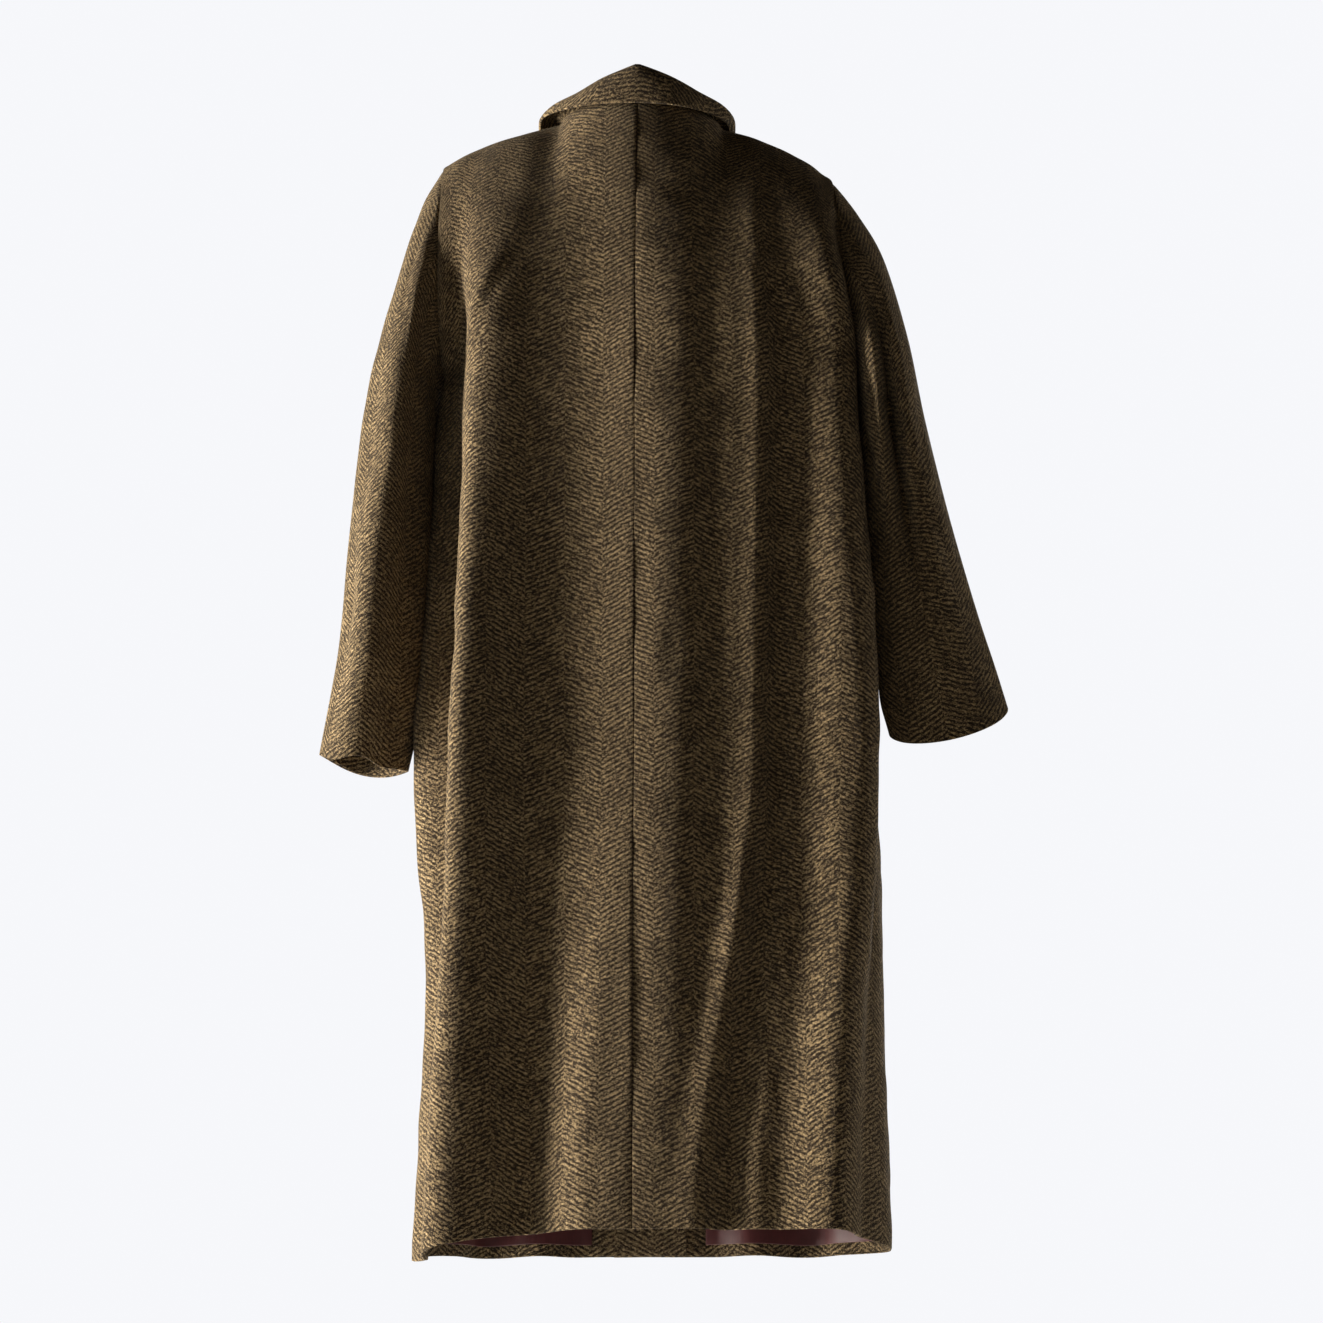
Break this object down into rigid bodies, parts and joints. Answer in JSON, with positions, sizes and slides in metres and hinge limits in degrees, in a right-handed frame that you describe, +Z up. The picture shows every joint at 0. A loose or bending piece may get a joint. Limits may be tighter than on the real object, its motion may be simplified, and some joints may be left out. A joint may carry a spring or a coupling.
{
  "type": "wool overcoat",
  "caption": "Long straight overcoat in brushed herringbone wool, filled out and hollow, with a turned-down collar, set-in sleeves, buttoned front, facings and satin lining.",
  "frame": {"origin": "middle of the neck opening, 10 mm above the neck ends of the shoulder seams, where the wearer's shoulders carry the coat", "axes": "+Z up along the centre back, -Y out of the coat's back, +Y out of its fronts, +X to the wearer's right"},
  "size_m": [0.7066, 0.2923, 1.2449],
  "materials": {
    "wool": "brushed wool in a broken herringbone, beige on near-black brown",
    "lining": "dark red satin lining with a soft sheen",
    "button": "dark brown horn-like buttons, satin"
  },
  "bodies": {
    "root": {"back_left": "wool", "back_right": "wool", "front_left": "wool", "front_right": "wool", "sleeve_left": "wool", "sleeve_right": "wool", "collar": "wool", "facing_left": "wool", "facing_right": "wool", "lining_back": "lining", "lining_front_left": "lining", "lining_front_right": "lining", "button_1": "button", "button_2": "button", "button_3": "button", "button_4": "button"}
  },
  "joints": []
}
